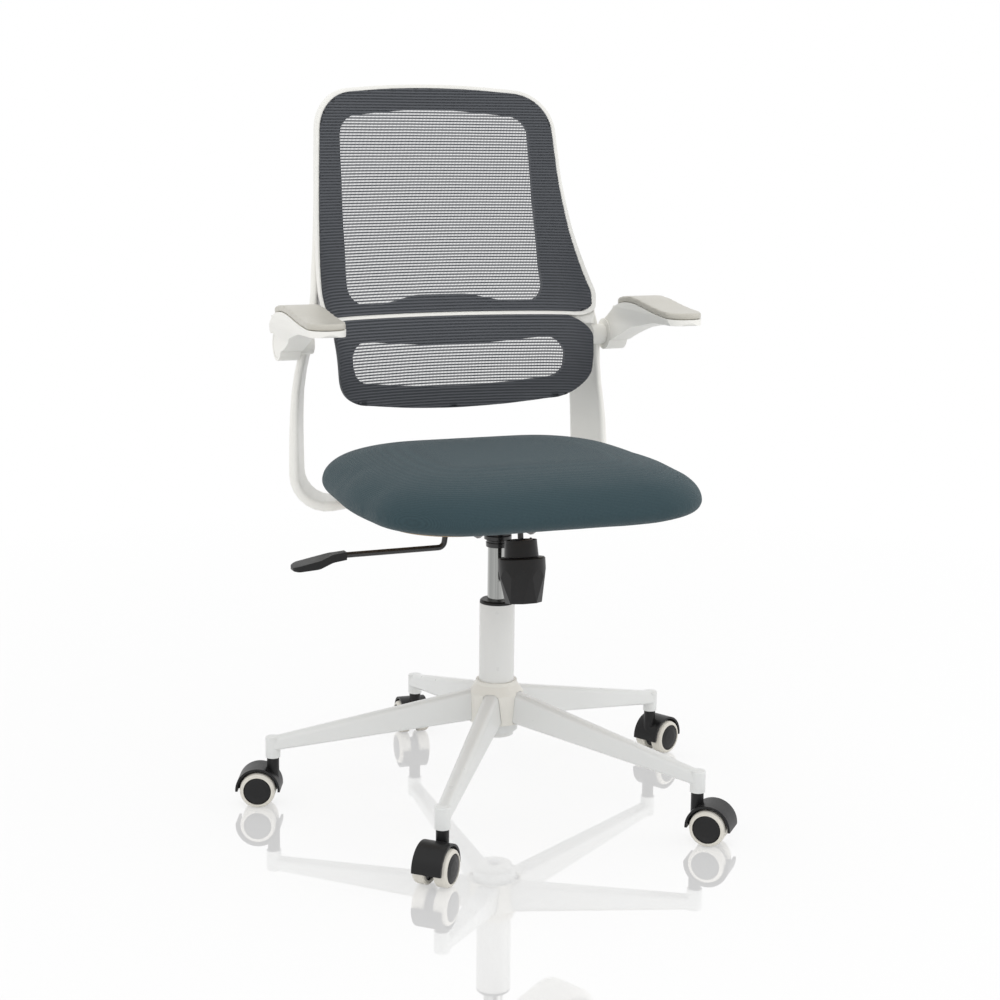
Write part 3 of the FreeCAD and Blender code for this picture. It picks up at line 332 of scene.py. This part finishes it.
oiled = Finish("oiled_spring", (0.22, 0.22, 0.225), 0.35, Metallic=1.0)
oiled.rough(oiled.noise(300.0), 0.25, 0.5)
coil.data.materials.append(oiled.material)
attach(coil, "seat")
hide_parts("tension_spring")

# Seat: a plywood board, and a foam cushion under one piece of woven petrol grey cloth.
# The cloth is drawn tight over the crown and pulled under the board, so it shows no seam from above.
plywood = Finish("birch_ply", (0.50, 0.36, 0.21), 0.6)
wood_figure = plywood.noise(1.0, 4.0, plywood.stretched((12.0, 160.0, 400.0)))
plywood.colours(wood_figure, (0.36, 0.24, 0.13), (0.56, 0.41, 0.25))
plywood.relief(plywood.noise(1.0, 2.0, plywood.stretched((20.0, 300.0, 300.0))), 0.0001)
plywood.on("seat_board")
black_paint.on("seat_bolts")

WELD = 0.00002
SETTLE_STEPS = 20
EASING = 16


def soft_copy(node, name, voxel, shrink, smooth):
    """Closed even mesh of a CAD soft solid, a little smaller and rounder than it."""
    piece = bpy.data.objects.new(name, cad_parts[node].data.copy())
    scene.collection.objects.link(piece)
    bpy.ops.object.select_all(action="DESELECT")
    piece.select_set(True)
    bpy.context.view_layer.objects.active = piece
    bpy.ops.object.mode_set(mode="EDIT")
    bpy.ops.mesh.select_all(action="SELECT")
    bpy.ops.mesh.remove_doubles(threshold=WELD)
    bpy.ops.object.mode_set(mode="OBJECT")
    even = piece.modifiers.new("even", "REMESH")
    even.mode = "VOXEL"
    even.voxel_size = voxel
    drawn_in = piece.modifiers.new("drawn_in", "DISPLACE")
    drawn_in.strength = -shrink
    drawn_in.mid_level = 0.0
    rounded = piece.modifiers.new("rounded", "SMOOTH")
    rounded.iterations = smooth
    for step in ("even", "drawn_in", "rounded"):
        bpy.ops.object.modifier_apply(modifier=step)
    return piece


def stuffed(piece, pressure, cap, lowest):
    """Swell a cover by its filling, no point moving more than cap or below lowest, and ease it."""
    start = [v.co.copy() for v in piece.data.vertices]
    cover = piece.modifiers.new("cover", "CLOTH")
    cover.settings.use_pressure = True
    cover.settings.uniform_pressure_force = pressure
    cover.settings.effector_weights.gravity = 0.0
    cover.settings.quality = 5
    for step in range(1, SETTLE_STEPS + 1):
        scene.frame_set(step)
    bpy.ops.object.modifier_apply(modifier="cover")
    scene.frame_set(1)
    for vertex, first in zip(piece.data.vertices, start):
        move = vertex.co - first
        if move.length > cap:
            move = move * (cap / move.length)
        vertex.co = first + move
        vertex.co.z = max(vertex.co.z, lowest)
    eased = piece.modifiers.new("eased", "SMOOTH")
    eased.iterations = EASING
    bpy.ops.object.modifier_apply(modifier="eased")


CUSHION_VOXEL = 0.006
CUSHION_CAP = 0.003
CUSHION_PRESSURE = 3.0
CUSHION_DRAWN_IN = 0.001
CUSHION_SMOOTHING = 8
COVER_GAP = 0.0002
board_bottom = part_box("seat_board")[0][2]
cushion = soft_copy("seat_cushion", "seat_cover", CUSHION_VOXEL, CUSHION_DRAWN_IN, CUSHION_SMOOTHING)
stuffed(cushion, CUSHION_PRESSURE, CUSHION_CAP, board_bottom + COVER_GAP)
finer = cushion.modifiers.new("finer", "SUBSURF")
finer.levels = 1
finer.render_levels = 1
bpy.ops.object.modifier_apply(modifier="finer")
bpy.ops.object.shade_smooth()

THREAD_PITCH = 0.0017
seat_cloth = Finish("petrol_weave", (0.030, 0.055, 0.063), 0.85, Sheen_Weight=0.13, Sheen_Roughness=0.35)
warp = (seat_cloth.axis("X") * (2 * math.pi / THREAD_PITCH)).sine()
weft = (seat_cloth.axis("Y") * (2 * math.pi / THREAD_PITCH)).sine()
climb = (seat_cloth.axis("Z") * (2 * math.pi / THREAD_PITCH)).sine()
weave = warp * weft * 0.5 + climb * 0.25 + 0.5
thread_tone = weave * 0.55 + seat_cloth.noise(700.0, 3.0) * 0.5
seat_cloth.colours(thread_tone, (0.016, 0.036, 0.045), (0.037, 0.076, 0.090))
seat_cloth.rough(seat_cloth.noise(500.0), 0.75, 0.95)
seat_cloth.relief(weave + seat_cloth.noise(900.0) * 0.4, 0.00025)
cushion.data.materials.clear()
cushion.data.materials.append(seat_cloth.material)
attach(cushion, "seat")
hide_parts("seat_cushion")

# Back frame: one white moulding, with a thin bezel, a crossbar and two blades that bend in under the seat.
# It has a satin face and the faint flow marks of a long moulding.
white_moulding = moulding("frame_white", (0.91, 0.90, 0.86), (0.88, 0.87, 0.825), 0.34, 0.46)
white_moulding.on("back_frame")

# Back panels: dark moulded rims with a knitted mesh stretched over the front and glued round the edge.
# The mesh has strong cross threads a few millimetres apart, held by thin upright ones.
rim_moulding = moulding("rim_slate", (0.058, 0.064, 0.074), (0.048, 0.053, 0.062), 0.5, 0.65)
rim_moulding.on("upper_panel_rim", "lower_panel_rim")

FRONT_FACING = -0.3


def stretched_cloth(node, name):
    """The front face of a thin CAD sheet, as a single skin."""
    skin = bpy.data.objects.new(name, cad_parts[node].data.copy())
    scene.collection.objects.link(skin)
    bpy.ops.object.select_all(action="DESELECT")
    skin.select_set(True)
    bpy.context.view_layer.objects.active = skin
    bpy.ops.object.mode_set(mode="EDIT")
    bpy.ops.mesh.select_all(action="SELECT")
    bpy.ops.mesh.remove_doubles(threshold=WELD)
    bpy.ops.mesh.select_all(action="DESELECT")
    bpy.ops.object.mode_set(mode="OBJECT")
    for face in skin.data.polygons:
        face.select = face.normal.y > FRONT_FACING
    bpy.ops.object.mode_set(mode="EDIT")
    bpy.ops.mesh.select_mode(type="FACE")
    bpy.ops.mesh.delete(type="FACE")
    bpy.ops.object.mode_set(mode="OBJECT")
    bpy.ops.object.shade_smooth()
    return skin


KNIT_PITCH = 0.0042
TIE_PITCH = 0.0022
mesh_cloth = Finish("knitted_mesh", (0.07, 0.076, 0.088), 0.7)
drift = mesh_cloth.noise(16.0, 1.0)
cross = ((mesh_cloth.axis("Z") * (2 * math.pi / KNIT_PITCH)) + drift).sine()
tie = (mesh_cloth.axis("X") * (2 * math.pi / TIE_PITCH)).sine()
solid = cross.over(0.0).most(tie.over(0.59))
mesh_cloth.colours(cross * 0.5 + 0.5, (0.052, 0.057, 0.067), (0.090, 0.096, 0.108))
mesh_cloth.feed("Alpha", solid)
mesh_cloth.relief(cross * 0.5 + tie * 0.1, 0.0004)
for node, name in (("upper_mesh", "upper_mesh_cloth"), ("lower_mesh", "lower_mesh_cloth")):
    cloth = stretched_cloth(node, name)
    cloth.data.materials.clear()
    cloth.data.materials.append(mesh_cloth.material)
    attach(cloth, "seat")
    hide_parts(node)

# Armrests: white arms that turn up on a pivot bolt, each with a soft greige pad pressed into its top.
# The pads are a skinned foam with a fine leather grain.
white_moulding.on("arm_left", "arm_right", "arm_pivot_bolts")
PAD_VOXEL = 0.0022
PAD_DRAWN_IN = 0.0003
PAD_SMOOTHING = 8
pad_skin = Finish("pad_greige", (0.54, 0.52, 0.46), 0.4, Coat_Weight=0.35, Coat_Roughness=0.3)
pad_skin.colours(pad_skin.noise(30.0, 3.0), (0.50, 0.48, 0.42), (0.57, 0.55, 0.49))
pad_skin.rough(pad_skin.noise(200.0), 0.34, 0.5)
grain = pad_skin.node("ShaderNodeTexVoronoi", inputs={"Vector": pad_skin.place, "Scale": 700.0})
pad_skin.relief(grain, 0.00012)
for side in ("left", "right"):
    pad = soft_copy(f"arm_pad_{side}", f"pad_cover_{side}", PAD_VOXEL, PAD_DRAWN_IN, PAD_SMOOTHING)
    bpy.ops.object.shade_smooth()
    pad.data.materials.clear()
    pad.data.materials.append(pad_skin.material)
    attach(pad, f"armrest_{side}")
    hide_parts(f"arm_pad_{side}")
